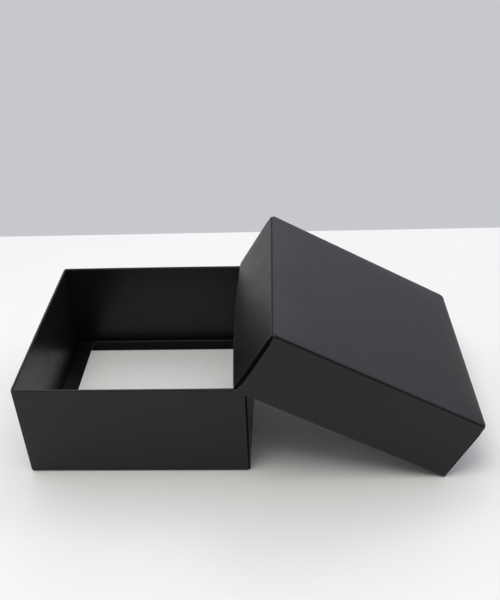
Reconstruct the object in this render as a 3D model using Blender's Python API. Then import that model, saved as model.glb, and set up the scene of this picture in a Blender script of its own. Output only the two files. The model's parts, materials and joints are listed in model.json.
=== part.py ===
"""Two-piece gift box in folded black board: an open tray with a lift-off lid leaning on it.

Metres, +Z up.  The tray stands on z = 0 with its centre on the Z axis; X runs to the right
and the tray's front wall faces -Y.  The lid is the same folded blank turned upside down:
its left end rests on the top edge of the tray's right wall, its right rim is on the table.

Every wall is double.  The outer wall bends up from the base, folds over at the rim, hangs
down inside as the inner wall and turns inward at the bottom as a narrow floor flange.
"""
import math

import bmesh
import bpy
from mathutils import Matrix, Vector

# ---- driving dimensions ---------------------------------------------------------------
TRAY_WIDTH = 0.200          # along X, outside
TRAY_DEPTH = 0.200          # along Y, outside
TRAY_HEIGHT = 0.095
LID_HEIGHT = 0.063
LID_CLEARANCE = 0.0009      # air on each side of the tray when the lid is on

BOARD = 0.0005              # thickness of the board
LAYER_GAP = 0.0003          # air between two layers of board
CREASE_RADIUS = 0.0025      # outside radius of the bend between base and wall
CORNER_RADIUS = 0.0020      # outside radius of the upright bend at each corner
FLANGE_WIDTH = 0.016        # floor flange, measured from the inner wall
TAB_LENGTH = 0.024          # corner tab, the flat part behind the front or back wall
TAB_TAPER = 0.004           # how far the tab's free end is cut back, top and bottom
TAB_DROP = 0.0010           # tabs end this far below the start of the rim fold
TAB_RISE = 0.0005           # and start this far above the bend at the base
MITRE_GAP = 0.0004          # inner walls stop this far short of their neighbours
FOLD_GAP = 0.00015          # parting line at each crease

LEAN_OVERLAP = 0.0125       # length of lid past the tray's right face, along its rims
LID_TURN = 1.0              # degrees, the leaning lid seen from above
LID_SHIFT = -0.0025         # the leaning lid's offset along Y
REST_GAP = 0.0003           # air where the lid rests on the tray
TABLE_GAP = 0.00005         # air where the lid rests on the table

ARC_STEPS = 6

# ---- worked-out dimensions ------------------------------------------------------------
STACK = 3 * BOARD + 2 * LAYER_GAP           # thickness of a double wall with a tab in it
FOLD_RADIUS = STACK / 2                     # outside radius of the fold over the rim
INNER_FACE = STACK - BOARD                  # depth of the inner wall's hidden face
WALL_INSET = FOLD_RADIUS                    # front and back walls stop this far from the corner
FLANGE_BEND = 2 * BOARD                     # outside radius of the flange's crease
FLANGE_LEVEL = BOARD + LAYER_GAP            # underside of the floor flanges
LID_WIDTH = TRAY_WIDTH + 2 * (STACK + LID_CLEARANCE)
LID_DEPTH = TRAY_DEPTH + 2 * (STACK + LID_CLEARANCE)

TRAY_SIDES = ("front", "right", "back", "left")
LID_SIDES = ("back", "right", "front", "left")      # the lid's blank is turned over


def clear_scene():
    for obj in list(bpy.data.objects):
        bpy.data.objects.remove(obj, do_unlink=True)


def make_material(name, colour, roughness):
    mat = bpy.data.materials.new(name)
    mat.use_nodes = True
    shader = mat.node_tree.nodes["Principled BSDF"]
    shader.inputs["Base Color"].default_value = (*colour, 1.0)
    shader.inputs["Roughness"].default_value = roughness
    shader.inputs["Metallic"].default_value = 0.0
    mat.diffuse_color = (*colour, 1.0)
    return mat


def arc(centre, radius, start, end, steps=ARC_STEPS):
    """Points on an arc, angles in degrees."""
    points = []
    for i in range(steps + 1):
        a = math.radians(start + (end - start) * i / steps)
        points.append((centre[0] + radius * math.cos(a), centre[1] + radius * math.sin(a)))
    return points


def band(outer, inner):
    """Closed profile of a strip of board, from its two long edges."""
    return list(outer) + list(reversed(inner))


def prism(name, profile, start, end, place, parent, mats, taper=0.0):
    """A profile swept from start to end.  place() turns (a, b, along) into a point.

    taper pulls the last two profile columns back at both ends, for a tab's free end.
    """
    mesh = bpy.data.meshes.new(name)
    obj = bpy.data.objects.new(name, mesh)
    bpy.context.scene.collection.objects.link(obj)
    count = len(profile)
    free = (count // 2 - 1, count // 2) if taper else ()
    bm = bmesh.new()
    rings = []
    for along, sign in ((start, 1.0), (end, -1.0)):
        ring = []
        for i, (a, b) in enumerate(profile):
            pull = sign * taper if i in free else 0.0
            ring.append(bm.verts.new(place(a, b, along + pull)))
        rings.append(ring)
    for i in range(count):
        j = (i + 1) % count
        bm.faces.new((rings[0][i], rings[0][j], rings[1][j], rings[1][i]))
    half = count // 2
    for ring in rings:                       # end caps as a ladder of quads
        for i in range(half - 1):
            bm.faces.new((ring[i], ring[i + 1], ring[count - 2 - i], ring[count - 1 - i]))
    bmesh.ops.recalc_face_normals(bm, faces=bm.faces)
    bm.to_mesh(mesh)
    bm.free()
    for mat in mats:
        mesh.materials.append(mat)
    obj.parent = parent
    return obj


def make_empty(name, matrix, parent=None):
    empty = bpy.data.objects.new(name, None)
    empty.empty_display_size = 0.01
    bpy.context.scene.collection.objects.link(empty)
    empty.parent = parent
    empty.matrix_local = matrix
    return empty


class Half:
    """One folded blank, base down and rim up, in its own frame."""

    def __init__(self, prefix, base_name, sides, width, depth, height, frame, mats,
                 base_mats):
        self.prefix = prefix
        self.sides = sides
        self.size = (width, depth)
        self.height = height
        self.frame = frame
        self.mats = mats
        self.fold_z = height - FOLD_RADIUS
        self.base(base_name, base_mats)
        for index, side in enumerate(sides):
            self.side(index, side)

    def half_out(self, index):
        """Distance from the centre to the outer face of a side."""
        return self.size[1] / 2 if index % 2 == 0 else self.size[0] / 2

    def half_along(self, index):
        """Half the outside length of a side."""
        return self.size[0] / 2 if index % 2 == 0 else self.size[1] / 2

    def point(self, index, along, depth, z, origin=(0.0, 0.0, 0.0)):
        """A point on a side: along it, depth inward from its outer face, height."""
        out = self.half_out(index)
        x, y = along, depth - out
        for _ in range(index):
            x, y = -y, x
        return Vector((x, y, z)) - Vector(origin)

    def base(self, name, mats):
        """The flat base panel, its inside face in the unprinted colour."""
        inset = CREASE_RADIUS + FOLD_GAP
        half_x = self.size[0] / 2 - inset
        half_y = self.size[1] / 2 - inset
        profile = [(-half_x, 0.0), (half_x, 0.0), (half_x, BOARD), (-half_x, BOARD)]
        obj = prism(name, profile, -half_y, half_y,
                    lambda a, b, c: Vector((a, c, b)), self.frame, mats)
        for poly in obj.data.polygons:
            if poly.normal.z > 0.9:
                poly.material_index = 1

    def side(self, index, side):
        prefix = f"{self.prefix}_{side}"
        facing = index % 2 == 0                 # front and back cover the corner tabs
        outer_end = self.half_along(index)
        if facing:
            outer_end -= WALL_INSET
        else:
            outer_end -= max(BOARD + LAYER_GAP + CORNER_RADIUS, CREASE_RADIUS) + FOLD_GAP

        # outer wall: quarter bend at the base, then straight up
        centre = (CREASE_RADIUS, CREASE_RADIUS)
        top = self.fold_z - FOLD_GAP
        outside = arc(centre, CREASE_RADIUS, 270, 180) + [(0.0, top)]
        inside = arc(centre, CREASE_RADIUS - BOARD, 270, 180) + [(BOARD, top)]
        prism(f"{prefix}_outer_wall", band(outside, inside), -outer_end, outer_end,
              lambda a, b, c: self.point(index, c, a, b), self.frame, self.mats)

        # rim fold: half round over the top edge, the front and back ones across the corners
        inner_end = self.half_along(index) - STACK - MITRE_GAP
        rim_end = outer_end if facing else min(outer_end, inner_end)
        centre = (FOLD_RADIUS, self.fold_z)
        prism(f"{prefix}_rim_fold",
              band(arc(centre, FOLD_RADIUS, 180, 0, 10),
                   arc(centre, FOLD_RADIUS - BOARD, 180, 0, 10)),
              -rim_end, rim_end,
              lambda a, b, c: self.point(index, c, a, b), self.frame, self.mats)

        # the flap: inner wall and floor flange, origin on the fold's centre line
        pivot = self.point(index, 0.0, FOLD_RADIUS, self.fold_z)
        axis = make_empty(f"{prefix}_flap_axis", Matrix.Translation(pivot), self.frame)
        low = FLANGE_LEVEL + FLANGE_BEND + FOLD_GAP
        profile = [(INNER_FACE, low), (INNER_FACE, top), (STACK, top), (STACK, low)]
        prism(f"{prefix}_inner_wall", profile, -inner_end, inner_end,
              lambda a, b, c: self.point(index, c, a, b, pivot), axis, self.mats)

        flange_end = inner_end
        if facing:
            flange_end = self.half_along(index) - STACK - FLANGE_WIDTH - LAYER_GAP
        bend = (INNER_FACE + FLANGE_BEND, FLANGE_LEVEL + FLANGE_BEND)
        reach = STACK + FLANGE_WIDTH
        under = arc(bend, FLANGE_BEND, 180, 270) + [(reach, FLANGE_LEVEL)]
        upper = arc(bend, FLANGE_BEND - BOARD, 180, 270) + [(reach, FLANGE_LEVEL + BOARD)]
        prism(f"{prefix}_floor_flange", band(under, upper), -flange_end, flange_end,
              lambda a, b, c: self.point(index, c, a, b, pivot), axis, self.mats)

        # corner tabs: upright bend at both ends of the left and right walls
        if facing:
            return
        for sign in (-1, 1):
            end = self.sides[0] if (index == 1) == (sign < 0) else self.sides[2]
            start = self.half_along(index) - BOARD - LAYER_GAP
            bend = (CORNER_RADIUS, start - CORNER_RADIUS)
            flat = CORNER_RADIUS + TAB_LENGTH
            outside = arc(bend, CORNER_RADIUS, 180, 90) + [(flat, start)]
            inside = arc(bend, CORNER_RADIUS - BOARD, 180, 90) + [(flat, start - BOARD)]
            prism(f"{prefix}_{end}_corner_tab", band(outside, inside),
                  CREASE_RADIUS + TAB_RISE, self.fold_z - TAB_DROP,
                  lambda a, b, c, s=sign: self.point(index, s * b, a, c),
                  self.frame, self.mats, taper=TAB_TAPER)


def lid_matrix():
    """Places the upside-down blank so that its left end leans on the tray."""
    rest = TRAY_HEIGHT + REST_GAP
    tilt = math.asin(rest / (LID_WIDTH - LEAN_OVERLAP))
    angle = math.radians(LID_TURN)
    rim_x = TRAY_WIDTH / 2 + rest * math.cos(angle) / math.tan(tilt)
    rim_x += LID_DEPTH / 2 * math.sin(angle)            # the back rim is the one that rests
    turn = Matrix.Rotation(angle, 4, "Z")
    lean = Matrix.Rotation(tilt, 4, "Y")
    upside_down = Matrix.Rotation(math.pi, 4, "X")
    rim_to_base = Matrix.Translation((-LID_WIDTH / 2, 0.0, LID_HEIGHT))
    # the rounded rim, not the rim's sharp corner, is what meets the table
    drop = FOLD_RADIUS * (math.sin(tilt) + math.cos(tilt) - 1.0)
    place = Matrix.Translation((rim_x, LID_SHIFT, TABLE_GAP - drop))
    return place @ turn @ lean @ rim_to_base @ upside_down


def build():
    clear_scene()
    black = make_material("black_board", (0.022, 0.022, 0.024), 0.55)
    pale = make_material("board_reverse", (0.47, 0.46, 0.44), 0.85)
    tray = make_empty("tray_frame", Matrix.Identity(4))
    lid = make_empty("lid_frame", lid_matrix())
    Half("tray", "tray_base_panel", TRAY_SIDES, TRAY_WIDTH, TRAY_DEPTH, TRAY_HEIGHT,
         tray, [black], [black, pale])
    Half("lid", "lid_top_panel", LID_SIDES, LID_WIDTH, LID_DEPTH, LID_HEIGHT,
         lid, [black], [black, pale])


build()
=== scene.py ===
"""Two-piece gift box in matt black board: an open tray with its lid leaning on it.

Each half is one folded blank.  Its panels are modelled one by one in the blank's own
frame, base down and rim up, and then carried to where the frame's fold joints say it is.
"""
import json
import math

import bpy
from mathutils import Matrix, Vector


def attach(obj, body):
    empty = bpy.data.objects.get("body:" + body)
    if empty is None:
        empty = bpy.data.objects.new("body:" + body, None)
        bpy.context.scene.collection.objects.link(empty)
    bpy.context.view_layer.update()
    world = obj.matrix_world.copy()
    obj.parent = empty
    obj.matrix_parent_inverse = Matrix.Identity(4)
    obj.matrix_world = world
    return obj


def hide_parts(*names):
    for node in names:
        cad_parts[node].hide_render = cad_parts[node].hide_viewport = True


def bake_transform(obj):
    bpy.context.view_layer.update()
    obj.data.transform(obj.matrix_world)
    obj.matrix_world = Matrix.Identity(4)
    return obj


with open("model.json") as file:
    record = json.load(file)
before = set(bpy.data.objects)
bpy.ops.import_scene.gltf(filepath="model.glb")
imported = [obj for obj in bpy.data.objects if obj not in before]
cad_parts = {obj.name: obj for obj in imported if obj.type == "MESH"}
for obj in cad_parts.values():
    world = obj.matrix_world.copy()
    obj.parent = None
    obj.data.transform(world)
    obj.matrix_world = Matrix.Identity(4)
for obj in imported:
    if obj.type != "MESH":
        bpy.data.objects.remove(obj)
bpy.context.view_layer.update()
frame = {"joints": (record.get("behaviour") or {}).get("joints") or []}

# ---- the board and its folds, in metres -------------------------------------------------
TRAY_HEIGHT = 0.095
LID_HEIGHT = 0.063
BOARD = 0.0005              # thickness of the board
LAYER_GAP = 0.0003          # air between two layers
STACK = 3 * BOARD + 2 * LAYER_GAP
FOLD_RADIUS = STACK / 2     # outside radius of the fold over the rim
CREASE_RADIUS = 0.0022      # outside radius of the bend between base and wall
GROOVE_DEPTH = 0.00045      # pressed line along the middle of that bend
GROOVE_HALF = math.radians(15)      # half its width, as an angle of the bend
BEND_STEPS = 12
CORNER_RADIUS = 0.0012      # outside radius of the upright bend at a corner
# up to this share of the corner bend, counted from the tab, the bend and the tab get painted
# shade
SHADED_BEND_SHARE = 0.80         # share of that bend past which the printed face begins
WALL_INSET = 0.0010         # front and back walls stop this far from the corner
BLUNT = 0.0030              # height over which their lower corners are rounded
BLUNT_DEPTH = 0.0009        # and how far that cuts them back
DOME = 0.0016               # how far the lid's panel swells outward at its middle
DOME_POWER = 8              # flat in the middle, falling away towards its creases
TRAY_ROUNDING = 0.0018      # a base's corners are rounded over this distance
LID_ROUNDING = 0.0038
FLANGE_BEND = 0.0010        # outside radius of the flange's crease
FLANGE_LEVEL = BOARD + LAYER_GAP
FLANGE_WIDTH = 0.016
SWING_ROOM = 1.4            # taper of a flap's end, as a share of the next wall's lean
TAB_LENGTH = 0.024
TAB_TAPER = 0.9             # height of the tab's free end as a share of the tab's
MITRE_GAP = 0.0001          # the inner walls meet edge to edge
RIM_SKIRT = 0.0010          # straight strip of outer wall that the rim fold starts from
CUT_EDGE = 0.00018          # softening of the board's cut edges

TAB_START = 0.0008          # a tab starts this far below the top of the crease
TAB_DROP = 0.0006           # and ends this far below the start of the rim fold

# ---- how finely the board is divided ----------------------------------------------------
WALL_COLUMNS, WALL_ROWS = 18, 8
BASE_CELLS = 32
TAB_COLUMNS, TAB_ROWS = 6, 4
RIM_STEPS = 12
FLANGE_STEPS = 5
CORNER_STEPS = 6
CORNER_LINES = (0.0040, 0.0060)     # score lines at these distances from a corner
LOW_LINES = (0.0005, 0.0010, 0.0018, 0.0030, 0.0050)    # and at these heights over a crease
NEAR = 1e-5                         # places closer than this count as the same
MERGE = 0.00002
CREASE_ANGLE = math.radians(32)     # a sharper edge than this is shaded as an edge
CUT_ANGLE = math.radians(50)        # and a sharper one than this is a cut edge

TRAY_SIDES = ("front", "right", "back", "left")
LID_SIDES = ("back", "right", "front", "left")      # the lid's blank is turned over

# The room's tone by height: -1 straight down, 0 level, 1 straight up.
ROOM_TONES = ((-0.05, (0.575, 0.58, 0.61)), (0.04, (0.32, 0.32, 0.35)),
              (0.15, (0.40, 0.39, 0.44)), (0.38, (1.25, 1.21, 1.34)))
ROOM_FRONT, ROOM_BACK = -0.6, 0.3       # it dims from the back of the room to the front
ROOM_DIM = (0.15, 0.15, 0.15, 1.0)
BACKDROP = (0.575, 0.58, 0.61, 1.0)

# Soft round lights: name, place, what it is aimed at, diameter, power.
LIGHTS = (("back_key", (0.35, 0.9, 1.5), (0.05, 0.0, 0.0), 0.5, 2.0),
          ("front_key", (0.8, -0.75, 0.8), (0.05, 0.0, 0.0), 0.4, 0.5),
          ("overhead", (-0.2, -0.40, 1.7), (-0.05, -0.25, 0.0), 1.0, 12.0))
LIGHT_COLOUR = (1.0, 1.0, 0.90)

TABLE_CENTRE = (0.1, -0.65, 0.0)
TABLE_SIZE = (8.0, 2.0, 1.0)

CAMERA_PLACE = (0.14035, -0.61849, 0.52280)
CAMERA_HEADING, CAMERA_DOWN, CAMERA_ROLL = -3.662, 33.149, -2.793      # degrees
CAMERA_LENS, CAMERA_SENSOR = 48.11, 36.0                               # millimetres

BOW_POWER = 1.6             # how the bow gathers towards the rim
CORNER_SHARE = 0.9          # past this share of the way out, a point belongs to the wall there
ROUND_REACH = 2.5           # a base corner's rounding dies out at this many times its size
ROUND_GAIN = 1.6            # how soon it is full, away from the corner's edges

# The board's spring: how far each wall's rim stands out of true along its whole length,
# and how much further it bows at mid-length.
TRAY_SPRING = {"front": (0.0005, 0.0004), "right": (0.0004, 0.0002),
               "back": (0.0010, 0.0004), "left": (0.0006, 0.0004)}
LID_SPRING = {"front": (0.0030, 0.0004), "right": (0.0, 0.0),
              "back": (-0.0040, 0.0004), "left": (0.0030, 0.0030)}

# how wide the seams of the front and back walls gape, at their left and right ends
TRAY_GAPE = {"left": 0.0003, "right": 0.0006}
LID_GAPE = {"left": 0.0027, "right": 0.0012}
GAPE_POWER = 6              # even along the seam, closing towards crease and rim


# ---- small helpers ----------------------------------------------------------------------
def deselect_everything():
    if bpy.context.object and bpy.context.object.mode != "OBJECT":
        bpy.ops.object.mode_set(mode="OBJECT")
    bpy.ops.object.select_all(action="DESELECT")


def new_grid(name, columns, rows, width, height, centre, upright):
    """A sheet of quads at its size and place, upright ones facing -Y."""
    deselect_everything()
    turn = (math.pi / 2, 0.0, 0.0) if upright else (0.0, 0.0, 0.0)
    bpy.ops.mesh.primitive_grid_add(x_subdivisions=columns, y_subdivisions=rows, size=1.0,
                                    location=centre, rotation=turn)
    sheet = bpy.context.object
    sheet.name = sheet.data.name = name
    sheet.scale = (width, height, 1.0)
    bpy.ops.object.transform_apply(location=True, rotation=True, scale=True)
    return sheet


def select_verts(sheet, test):
    """Selects, in edit mode, the vertices whose place passes the test."""
    bpy.ops.object.mode_set(mode="EDIT")
    bpy.ops.mesh.select_mode(type="VERT")
    bpy.ops.mesh.select_all(action="DESELECT")
    bpy.ops.object.mode_set(mode="OBJECT")
    for vert in sheet.data.vertices:
        vert.select = test(vert.co)
    bpy.ops.object.mode_set(mode="EDIT")
    bpy.ops.mesh.select_mode(type="EDGE")


def bisect(sheet, place, normal):
    """A straight score line across the whole sheet."""
    bpy.ops.object.mode_set(mode="EDIT")
    bpy.ops.mesh.select_all(action="SELECT")
    bpy.ops.mesh.bisect(plane_co=place, plane_no=normal)
    bpy.ops.object.mode_set(mode="OBJECT")


def spin_edge(sheet, test, centre, axis, degrees, steps):
    """Bends the sheet on from the selected edge, by the right-hand rule about the axis."""
    select_verts(sheet, test)
    bpy.ops.mesh.spin(steps=steps, angle=math.radians(-degrees), center=centre, axis=axis)
    bpy.ops.object.mode_set(mode="OBJECT")


def extrude_edge(sheet, test, move):
    select_verts(sheet, test)
    bpy.ops.mesh.extrude_region_move(TRANSFORM_OT_translate={"value": move})
    bpy.ops.object.mode_set(mode="OBJECT")


def face_outward(sheet, outward):
    """Turns every face so that the sheet's printed side looks outward."""
    bpy.ops.object.mode_set(mode="EDIT")
    bpy.ops.mesh.select_all(action="SELECT")
    bpy.ops.mesh.remove_doubles(threshold=MERGE)
    bpy.ops.mesh.normals_make_consistent(inside=False)
    bpy.ops.object.mode_set(mode="OBJECT")
    total = sum((p.normal * p.area for p in sheet.data.polygons), Vector())
    if total.dot(Vector(outward)) < 0:
        bpy.ops.object.mode_set(mode="EDIT")
        bpy.ops.mesh.flip_normals()
        bpy.ops.object.mode_set(mode="OBJECT")


def apply_modifiers(obj):
    deselect_everything()
    obj.select_set(True)
    bpy.context.view_layer.objects.active = obj
    for modifier in list(obj.modifiers):
        bpy.ops.object.modifier_apply(modifier=modifier.name)


def give_thickness(sheet, materials, reverse=False):
    """Board thickness behind the printed side, cut edges in the core's colour with a painted
    highlight.

    With reverse, the third material is the board's other side.
    """
    for material in materials:
        sheet.data.materials.append(material)
    solid = sheet.modifiers.new("board", "SOLIDIFY")
    solid.thickness = BOARD
    solid.offset = -1.0
    if len(materials) > 1:
        solid.material_offset_rim = 1
    if reverse:
        solid.material_offset = 2
    soften = sheet.modifiers.new("cut edges", "BEVEL")
    soften.width = CUT_EDGE
    soften.segments = 1
    soften.limit_method = "ANGLE"
    soften.angle_limit = CUT_ANGLE
    apply_modifiers(sheet)
    bpy.ops.object.shade_smooth_by_angle(angle=CREASE_ANGLE)


# ---- one folded blank -------------------------------------------------------------------
class Blank:
    """Where a half's blank lies, read from its four fold joints."""

    def __init__(self, prefix, sides, height, spring, gape, rounding):
        self.gape = gape
        self.rounding = rounding
        self.prefix = prefix
        self.sides = sides
        self.height = height
        self.spring = spring
        self.fold_z = height - FOLD_RADIUS
        folds = {j["name"]: j for j in frame["joints"]}
        pivots = [Vector(folds[f"{prefix}_{side}_flap_fold"]["pos_m"]) for side in sides]
        x = (pivots[1] - pivots[3]).normalized()
        y = (pivots[2] - pivots[0]).normalized()
        z = x.cross(y)
        centre = sum(pivots, Vector()) / 4
        origin = centre - z * self.fold_z
        self.half_x = (pivots[1] - pivots[3]).length / 2 + FOLD_RADIUS
        self.half_y = (pivots[0] - pivots[2]).length / 2 + FOLD_RADIUS
        self.place = Matrix((
            (x.x, y.x, z.x, origin.x),
            (x.y, y.y, z.y, origin.y),
            (x.z, y.z, z.z, origin.z),
            (0.0, 0.0, 0.0, 1.0),
        ))

    def out(self, index):
        return self.half_y if index % 2 == 0 else self.half_x

    def along(self, index):
        return self.half_x if index % 2 == 0 else self.half_y

    def neighbour(self, index, across):
        """The side met at this end of a side."""
        return self.sides[(index + (1 if across > 0 else 3)) % 4]

    def side_matrix(self, index):
        return self.place @ Matrix.Rotation(index * math.pi / 2, 4, "Z")

    def spring_out(self, obj, index):
        """Flares and bows the walls outward, nothing at their creases.

        One field moves the side's own wall and the neighbour's at each end, so whatever
        lies in a corner keeps its place between the other layers.
        """
        reach, out = self.along(index), self.out(index)
        for vert in obj.data.vertices:
            across, deep = vert.co.x / reach, -vert.co.y / out
            lift = min(1.0, max(0.0, vert.co.z / self.height))
            near_wall = lift ** BOW_POWER
            lean, bow = self.spring[self.sides[index]]
            vert.co.y -= lean * lift * deep * abs(deep)
            if deep > CORNER_SHARE:
                vert.co.y -= bow * max(0.0, 1.0 - across ** 2) * near_wall
            lean, bow = self.spring[self.neighbour(index, across)]
            vert.co.x += lean * lift * across * abs(across)
            if abs(across) > CORNER_SHARE:
                vert.co.x += math.copysign(bow, across) * max(0.0, 1.0 - deep ** 2) * near_wall

    def round_corners(self, obj, index):
        """Rounds the base's four corners, from the cube they would be towards a ball."""
        size = self.rounding
        reach, out = self.along(index) - size, self.out(index) - size
        for vert in obj.data.vertices:
            a, b = abs(vert.co.x) - reach, abs(vert.co.y) - out
            if a <= 0.0 or b <= 0.0 or vert.co.z > ROUND_REACH * size:
                continue
            down = max(0.0, size - vert.co.z)
            fade = min(1.0, ROUND_REACH - vert.co.z / size)
            share = (min(1.0, ROUND_GAIN * a / size)
                     * min(1.0, ROUND_GAIN * b / size) * fade)
            ball = max(a, b, down) / math.sqrt(a * a + b * b + down * down)
            scale = 1.0 + share * (ball - 1.0)
            vert.co.x = math.copysign(reach + a * scale, vert.co.x)
            vert.co.y = math.copysign(out + b * scale, vert.co.y)
            if down > 0.0:
                vert.co.z = size - down * scale

    def finish(self, obj, index, body, nodes):
        self.round_corners(obj, index)
        self.spring_out(obj, index)
        obj.data.transform(self.side_matrix(index))
        obj.data.update()
        if body:
            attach(obj, body)
        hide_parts(*nodes)


def base_panel(blank, name, node, materials, swell):
    """The panel that the four walls bend up from, pale on its inner side.

    The lid's, with nothing to hold it flat, swells outward a little.
    """
    width = 2 * (blank.half_x - CREASE_RADIUS)
    depth = 2 * (blank.half_y - CREASE_RADIUS)
    sheet = new_grid(name, BASE_CELLS, BASE_CELLS, width, depth, (0.0, 0.0, 0.0),
                     upright=False)
    for sign in (-1, 1):
        for inset in CORNER_LINES:
            bisect(sheet, (sign * (blank.half_x - inset), 0.0, 0.0), (1.0, 0.0, 0.0))
            bisect(sheet, (0.0, sign * (blank.half_y - inset), 0.0), (0.0, 1.0, 0.0))
    face_outward(sheet, (0.0, 0.0, -1.0))
    for vert in sheet.data.vertices:
        across, deep = 2 * vert.co.x / width, 2 * vert.co.y / depth
        vert.co.z -= (swell * (1.0 - abs(across) ** DOME_POWER)
                      * (1.0 - abs(deep) ** DOME_POWER))
    give_thickness(sheet, materials, reverse=True)
    blank.finish(sheet, 0, blank.prefix, [node])


def wall_end(blank, index, place):
    """Half the length of an outer wall at a place on its end.

    Round the crease the ends are mitred with the neighbour's.  Above it a front or back
    wall reaches almost to the corner, with a gaping seam, and a left or right wall stops
    where its upright bend starts.
    """
    depth = place.y + blank.out(index)
    rise = place.z - CREASE_RADIUS
    if index % 2 == 1:
        stop = BOARD + LAYER_GAP + CORNER_RADIUS
        return blank.along(index) - max(depth, stop * min(1.0, place.z / CREASE_RADIUS))
    gape = blank.gape[blank.neighbour(index, place.x)]
    share = min(1.0, max(0.0, place.z / blank.height))
    stop = WALL_INSET + gape * (1.0 - abs(2 * share - 1) ** GAPE_POWER)
    if rise > 0.0:
        blunt = max(0.0, 1.0 - rise / BLUNT)
        stop += BLUNT_DEPTH * (1.0 - math.sqrt(1.0 - blunt ** 2))
    return blank.along(index) - max(depth, stop)


def bend_angle(place, centre):
    """Distance from the bend's axis, and angle from the middle of the bend.

    The middle looks out and down, halfway between the wall's face and the base's.
    """
    away = Vector((place.y - centre.y, place.z - centre.z))
    return away.length, math.atan2(away.y, away.x) % (2 * math.pi) - math.radians(225)


def press_groove(sheet, centre, material_index):
    """Presses a fine line into the middle of the bend and gives it its own finish, darkened as
    painted shade.
    """
    for face in sheet.data.polygons:
        away, angle = bend_angle(face.center, centre)
        if away < 1.2 * CREASE_RADIUS and abs(angle) < GROOVE_HALF:
            face.material_index = material_index
    for vert in sheet.data.vertices:
        away, angle = bend_angle(vert.co, centre)
        if abs(away - CREASE_RADIUS) < NEAR and abs(angle) < GROOVE_HALF:
            pressed = GROOVE_DEPTH * (1.0 - abs(angle) / GROOVE_HALF) / CREASE_RADIUS
            vert.co.y += (centre.y - vert.co.y) * pressed
            vert.co.z += (centre.z - vert.co.z) * pressed


def outer_wall(blank, index, materials):
    """Outer wall and the rounded crease at its foot."""
    side = blank.sides[index]
    out = blank.out(index)
    facing = index % 2 == 0
    if facing:
        end = blank.along(index) - WALL_INSET
    else:
        end = blank.along(index) - BOARD - LAYER_GAP - CORNER_RADIUS
    top = blank.fold_z - RIM_SKIRT
    rise = top - CREASE_RADIUS
    sheet = new_grid(f"{blank.prefix}_{side}_outer_wall_board", WALL_COLUMNS, WALL_ROWS,
                     2 * end, rise, (0.0, -out, CREASE_RADIUS + rise / 2), upright=True)
    for extra in LOW_LINES:
        bisect(sheet, (0.0, -out, CREASE_RADIUS + extra), (0.0, 0.0, 1.0))
    for sign in (-1, 1):
        for inset in CORNER_LINES:
            bisect(sheet, (sign * (blank.along(index) - inset), -out, 0.0), (1.0, 0.0, 0.0))
    centre = Vector((0.0, CREASE_RADIUS - out, CREASE_RADIUS))
    spin_edge(sheet, lambda co: co.z < CREASE_RADIUS + NEAR, centre, (1.0, 0.0, 0.0), 90,
              BEND_STEPS)
    face_outward(sheet, (0.0, -1.0, 0.0))
    for vert in sheet.data.vertices:
        if abs(vert.co.x) > end - NEAR:
            vert.co.x = math.copysign(wall_end(blank, index, vert.co), vert.co.x)
    press_groove(sheet, centre, 2)
    give_thickness(sheet, materials)
    blank.finish(sheet, index, blank.prefix, [f"{blank.prefix}_{side}_outer_wall"])


def rim_fold(blank, index, materials):
    """The half-round fold over the top edge."""
    side = blank.sides[index]
    out = blank.out(index)
    end = blank.along(index) - (WALL_INSET if index % 2 == 0 else STACK + MITRE_GAP)
    sheet = new_grid(f"{blank.prefix}_{side}_rim_fold_board", WALL_COLUMNS, 1,
                     2 * end, RIM_SKIRT, (0.0, -out, blank.fold_z - RIM_SKIRT / 2),
                     upright=True)
    spin_edge(sheet, lambda co: co.z > blank.fold_z - NEAR,
              (0.0, FOLD_RADIUS - out, blank.fold_z), (-1.0, 0.0, 0.0), 180, RIM_STEPS)
    face_outward(sheet, (0.0, -1.0, 1.0))
    give_thickness(sheet, materials)
    blank.finish(sheet, index, None, [f"{blank.prefix}_{side}_rim_fold"])
    turn = blank.side_matrix(index)
    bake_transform(sheet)


def flap(blank, index, materials):
    """Inner wall and floor flange in one piece, bent at the foot."""
    side = blank.sides[index]
    out = blank.out(index)
    inner = STACK - out
    end = blank.along(index) - STACK - MITRE_GAP
    flange_end = end
    if index % 2 == 0:
        flange_end = blank.along(index) - STACK - FLANGE_WIDTH - LAYER_GAP
    bend = FLANGE_BEND - BOARD
    low = FLANGE_LEVEL + FLANGE_BEND
    rise = blank.fold_z - low
    sheet = new_grid(f"{blank.prefix}_{side}_flap_board", WALL_COLUMNS, WALL_ROWS,
                     2 * end, rise, (0.0, inner, low + rise / 2), upright=True)
    if flange_end < end:
        for sign in (-1, 1):
            bisect(sheet, (sign * flange_end, inner, low), (1.0, 0.0, 0.0))
    spin_edge(sheet, lambda co: co.z < low + NEAR and abs(co.x) < flange_end + NEAR,
              (0.0, inner + bend, low), (1.0, 0.0, 0.0), 90, FLANGE_STEPS)
    foot = FLANGE_LEVEL + BOARD
    extrude_edge(sheet, lambda co: co.z < foot + NEAR and co.y > inner + bend - NEAR,
                 (0.0, FLANGE_WIDTH - bend, 0.0))
    face_outward(sheet, (0.0, 1.0, 0.0))
    for vert in sheet.data.vertices:        # room to swing past a wall that leans in
        inward = max(0.0, -blank.spring[blank.neighbour(index, vert.co.x)][0])
        below = min(1.0, 1.0 - vert.co.z / blank.fold_z)
        vert.co.x *= 1.0 - SWING_ROOM * inward * below / end
    give_thickness(sheet, materials)
    prefix = f"{blank.prefix}_{side}"
    blank.finish(sheet, index, f"{prefix}_flap",
                 [f"{prefix}_inner_wall", f"{prefix}_floor_flange"])


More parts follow.
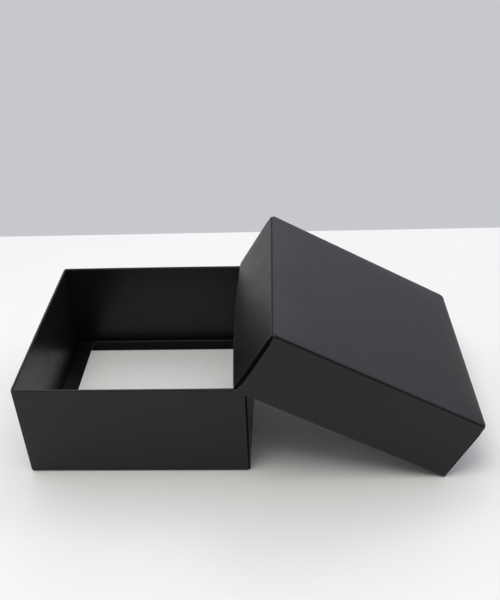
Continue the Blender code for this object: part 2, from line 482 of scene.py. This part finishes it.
def corner_tab(blank, index, sign, materials):
    """Upright bend at one end of a left or right wall, and the tab behind the next wall."""
    side = blank.sides[index]
    neighbour = blank.neighbour(index, sign)
    out = blank.out(index)
    start = blank.along(index) - BOARD - LAYER_GAP - CORNER_RADIUS
    face = start + CORNER_RADIUS
    low, high = CREASE_RADIUS - TAB_START, blank.fold_z - TAB_DROP
    node = f"{blank.prefix}_{side}_{neighbour}_corner_tab"
    deselect_everything()
    bpy.ops.mesh.primitive_grid_add(
        x_subdivisions=TAB_COLUMNS, y_subdivisions=TAB_ROWS, size=1.0,
        rotation=(0.0, -sign * math.pi / 2, 0.0),
        location=(sign * face, CORNER_RADIUS - out + TAB_LENGTH / 2, (low + high) / 2))
    sheet = bpy.context.object
    sheet.name = sheet.data.name = node + "_board"
    sheet.scale = (high - low, TAB_LENGTH, 1.0)
    bpy.ops.object.transform_apply(location=True, rotation=True, scale=True)
    near = CORNER_RADIUS - out
    spin_edge(sheet, lambda co: co.y < near + NEAR, (sign * start, near, 0.0),
              (0.0, 0.0, -sign), 90, CORNER_STEPS)
    far = near + TAB_LENGTH
    select_verts(sheet, lambda co: co.y > far - NEAR)
    bpy.ops.transform.resize(value=(1.0, 1.0, TAB_TAPER),
                             center_override=(0.0, 0.0, (low + high) / 2))
    bpy.ops.object.mode_set(mode="OBJECT")
    face_outward(sheet, (sign, 0.0, 0.0))
    # the rest of the bend and the tab get the near-black of painted shade for the shadowed seam
    for face in sheet.data.polygons:        # only the start of the bend is printed
        if near - face.center.y < SHADED_BEND_SHARE * CORNER_RADIUS:
            face.material_index = 2
    give_thickness(sheet, materials)
    blank.finish(sheet, index, blank.prefix, [node])


# ---- materials --------------------------------------------------------------------------
def shader_of(name):
    material = bpy.data.materials.new(name)
    material.use_nodes = True
    nodes = material.node_tree.nodes
    return material, material.node_tree, nodes["Principled BSDF"]


def noise(tree, scale, detail):
    """Noise that stays with the piece, in cycles per metre."""
    where = tree.nodes.new("ShaderNodeTexCoord")
    pattern = tree.nodes.new("ShaderNodeTexNoise")
    pattern.inputs["Scale"].default_value = scale
    pattern.inputs["Detail"].default_value = detail
    pattern.inputs["Roughness"].default_value = 0.55
    tree.links.new(where.outputs["Object"], pattern.inputs["Vector"])
    return pattern.outputs["Fac"]


def spread(tree, value, low, high):
    """Takes a noise value to the range low to high."""
    span = tree.nodes.new("ShaderNodeMapRange")
    span.inputs["From Min"].default_value = 0.3
    span.inputs["From Max"].default_value = 0.7
    span.inputs["To Min"].default_value = low
    span.inputs["To Max"].default_value = high
    tree.links.new(value, span.inputs["Value"])
    return span.outputs["Result"]


def two_tone(tree, value, dark, light):
    ramp = tree.nodes.new("ShaderNodeValToRGB")
    ramp.color_ramp.elements[0].position = 0.35
    ramp.color_ramp.elements[0].color = (*dark, 1.0)
    ramp.color_ramp.elements[1].position = 0.65
    ramp.color_ramp.elements[1].color = (*light, 1.0)
    tree.links.new(value, ramp.inputs["Fac"])
    return ramp.outputs["Color"]


def bump(tree, shader, height, distance, strength, under=None):
    node = tree.nodes.new("ShaderNodeBump")
    node.inputs["Distance"].default_value = distance
    node.inputs["Strength"].default_value = strength
    tree.links.new(height, node.inputs["Height"])
    if under:
        tree.links.new(under, node.inputs["Normal"])
    tree.links.new(node.outputs["Normal"], shader.inputs["Normal"])
    return node.outputs["Normal"]


def black_soft_touch():
    """Printed black face with a soft-touch film: dark, even, a broad soft sheen."""
    material, tree, shader = shader_of("black_soft_touch_face")
    mottle = noise(tree, 900.0, 3.0)
    colour = two_tone(tree, mottle, (0.0040, 0.0040, 0.0041), (0.0054, 0.0054, 0.0056))
    tree.links.new(colour, shader.inputs["Base Color"])
    cloud = noise(tree, 38.0, 2.0)
    tree.links.new(spread(tree, cloud, 0.30, 0.36), shader.inputs["Roughness"])
    wave = bump(tree, shader, noise(tree, 16.0, 1.0), 0.0004, 0.35)
    bump(tree, shader, noise(tree, 2600.0, 2.0), 0.00002, 0.35, under=wave)
    shader.inputs["IOR"].default_value = 1.39
    shader.inputs["Specular Tint"].default_value = (0.97, 0.95, 1.0, 1.0)
    return material


def dulled_crease_painted_shade():
    """The line that the creasing rule leaves: its film dulled, and its colour darkened as
    painted shade in the crease.
    """
    material, tree, shader = shader_of("black_crease_painted_shade")
    fibre = noise(tree, 1800.0, 3.0)
    # painted shade: the crease's colour is set darker than the face's
    colour = two_tone(tree, fibre, (0.0016, 0.0016, 0.0018), (0.0034, 0.0034, 0.0036))
    tree.links.new(colour, shader.inputs["Base Color"])
    tree.links.new(spread(tree, noise(tree, 300.0, 2.0), 0.55, 0.75),
                   shader.inputs["Roughness"])
    shader.inputs["Specular IOR Level"].default_value = 0.25
    bump(tree, shader, fibre, 0.00004, 0.5)
    return material


def black_cut_edge_core_and_highlight():
    """Cut edge of the dyed core, fibrous and greyer than the face: the core's own grey, made
    lighter as a painted highlight along the edge.
    """
    material, tree, shader = shader_of("black_cut_edge_core_and_highlight")
    fibre = noise(tree, 4200.0, 3.0)
    colour = two_tone(tree, fibre, (0.028, 0.028, 0.029), (0.060, 0.060, 0.061))
    tree.links.new(colour, shader.inputs["Base Color"])
    shader.inputs["Roughness"].default_value = 0.75
    bump(tree, shader, fibre, 0.00005, 0.5)
    return material


def black_seam_shade_finish():
    """Painted shade: a near-black put on the corner tabs and most of their bends, seen only in
    the corner seams.
    """
    material, tree, shader = shader_of("black_seam_painted_shade")
    fibre = noise(tree, 1500.0, 4.0)
    colour = two_tone(tree, fibre, (0.0010, 0.0010, 0.0012), (0.0022, 0.0022, 0.0024))
    tree.links.new(colour, shader.inputs["Base Color"])
    shader.inputs["Roughness"].default_value = 0.9
    shader.inputs["Specular IOR Level"].default_value = 0.08
    bump(tree, shader, fibre, 0.00004, 0.4)
    return material


def pale_reverse():
    """Unprinted pale reverse of the base panel, a fine grey-white pulp."""
    material, tree, shader = shader_of("pale_board_reverse")
    pulp = noise(tree, 700.0, 5.0)
    colour = two_tone(tree, pulp, (0.68, 0.675, 0.66), (0.74, 0.735, 0.72))
    tree.links.new(colour, shader.inputs["Base Color"])
    shader.inputs["Roughness"].default_value = 0.8
    bump(tree, shader, noise(tree, 2200.0, 3.0), 0.00003, 0.4)
    return material


def table_finish():
    material, tree, shader = shader_of("pale_table")
    colour = two_tone(tree, noise(tree, 5.0, 2.0), (0.800, 0.805, 0.785), (0.820, 0.825, 0.805))
    tree.links.new(colour, shader.inputs["Base Color"])
    shader.inputs["Roughness"].default_value = 0.6
    return material


# ---- the two halves ---------------------------------------------------------------------
def build_half(blank, base_node, finishes, swell):
    # the cut edges' finish is the core's grey lightened as a painted highlight
    face, edge, crease, seam_shade, pale = finishes
    base_panel(blank, base_node + "_board", base_node, [face, edge, pale], swell)
    for index in range(4):
        # the crease finish in the groove is darkened as painted shade
        outer_wall(blank, index, [face, edge, crease])
        rim_fold(blank, index, [face, edge])
        flap(blank, index, [face, edge])
    # the corner tabs carry the painted shade of the corner seams
    for index in (1, 3):
        for sign in (-1, 1):
            corner_tab(blank, index, sign, [face, edge, seam_shade])


# ---- stage, light, camera ---------------------------------------------------------------
def make_table():
    deselect_everything()
    bpy.ops.mesh.primitive_plane_add(size=1.0, location=TABLE_CENTRE)
    table = bpy.context.object
    table.name = table.data.name = "table"
    table.scale = TABLE_SIZE
    bpy.ops.object.transform_apply(location=True, rotation=True, scale=True)
    table.data.materials.append(table_finish())


def aim(obj, target):
    obj.rotation_euler = (Vector(target) - obj.location).to_track_quat("-Z", "Y").to_euler()


def soft_light(name, place, target, size, power):
    bpy.ops.object.light_add(type="AREA", location=place)
    light = bpy.context.object
    light.name = light.data.name = name
    light.data.shape = "DISK"
    light.data.size = size
    light.data.energy = power
    light.data.color = LIGHT_COLOUR
    aim(light, target)


def make_world():
    """Soft light from all round, brighter from above and dimmer from the front.

    Seen directly it is an even pale backdrop on every side.
    """
    world = bpy.data.worlds.new("studio")
    bpy.context.scene.world = world
    world.use_nodes = True
    tree = world.node_tree
    where = tree.nodes.new("ShaderNodeTexCoord")
    parts = tree.nodes.new("ShaderNodeSeparateXYZ")
    tree.links.new(where.outputs["Generated"], parts.inputs["Vector"])

    height = tree.nodes.new("ShaderNodeMapRange")
    height.inputs["From Min"].default_value = -1.0
    tree.links.new(parts.outputs["Z"], height.inputs["Value"])
    tones = tree.nodes.new("ShaderNodeValToRGB")
    stops = tones.color_ramp.elements
    while len(stops) < len(ROOM_TONES):
        stops.new(0.5)
    for stop, (level, colour) in zip(stops, ROOM_TONES):
        stop.position = (level + 1.0) / 2
        stop.color = (*colour, 1.0)
    tree.links.new(height.outputs["Result"], tones.inputs["Fac"])

    share = tree.nodes.new("ShaderNodeMapRange")
    share.inputs["From Min"].default_value = ROOM_FRONT
    share.inputs["From Max"].default_value = ROOM_BACK
    tree.links.new(parts.outputs["Y"], share.inputs["Value"])
    dim = tree.nodes.new("ShaderNodeValToRGB")
    dim.color_ramp.elements[0].color = ROOM_DIM
    tree.links.new(share.outputs["Result"], dim.inputs["Fac"])

    both = tree.nodes.new("ShaderNodeVectorMath")
    both.operation = "MULTIPLY"
    tree.links.new(tones.outputs["Color"], both.inputs[0])
    tree.links.new(dim.outputs["Color"], both.inputs[1])

    seen = tree.nodes.new("ShaderNodeLightPath")
    backdrop = tree.nodes.new("ShaderNodeMixRGB")
    backdrop.inputs["Color2"].default_value = BACKDROP
    tree.links.new(seen.outputs["Is Camera Ray"], backdrop.inputs["Fac"])
    tree.links.new(both.outputs["Vector"], backdrop.inputs["Color1"])
    tree.links.new(backdrop.outputs["Color"], tree.nodes["Background"].inputs["Color"])


def make_camera():
    """Looks down on the front, turned slightly to the side and rolled a little."""
    bpy.ops.object.camera_add(location=CAMERA_PLACE)
    camera = bpy.context.object
    turn = Matrix.Rotation(-math.radians(CAMERA_HEADING), 3, "Z")
    tilt = Matrix.Rotation(math.pi / 2 - math.radians(CAMERA_DOWN), 3, "X")
    roll = Matrix.Rotation(math.radians(CAMERA_ROLL), 3, "Z")
    camera.rotation_euler = (turn @ tilt @ roll).to_euler()
    camera.data.sensor_width = CAMERA_SENSOR
    camera.data.lens = CAMERA_LENS
    bpy.context.scene.camera = camera


make_camera()
finishes = (black_soft_touch(), black_cut_edge_core_and_highlight(), dulled_crease_painted_shade(), black_seam_shade_finish(),
            pale_reverse())
build_half(Blank("tray", TRAY_SIDES, TRAY_HEIGHT, TRAY_SPRING, TRAY_GAPE, TRAY_ROUNDING),
           "tray_base_panel", finishes, 0.0)
build_half(Blank("lid", LID_SIDES, LID_HEIGHT, LID_SPRING, LID_GAPE, LID_ROUNDING),
           "lid_top_panel", finishes, DOME)
make_table()
make_world()
for light in LIGHTS:
    soft_light(*light)
bpy.context.scene.view_settings.view_transform = "Standard"
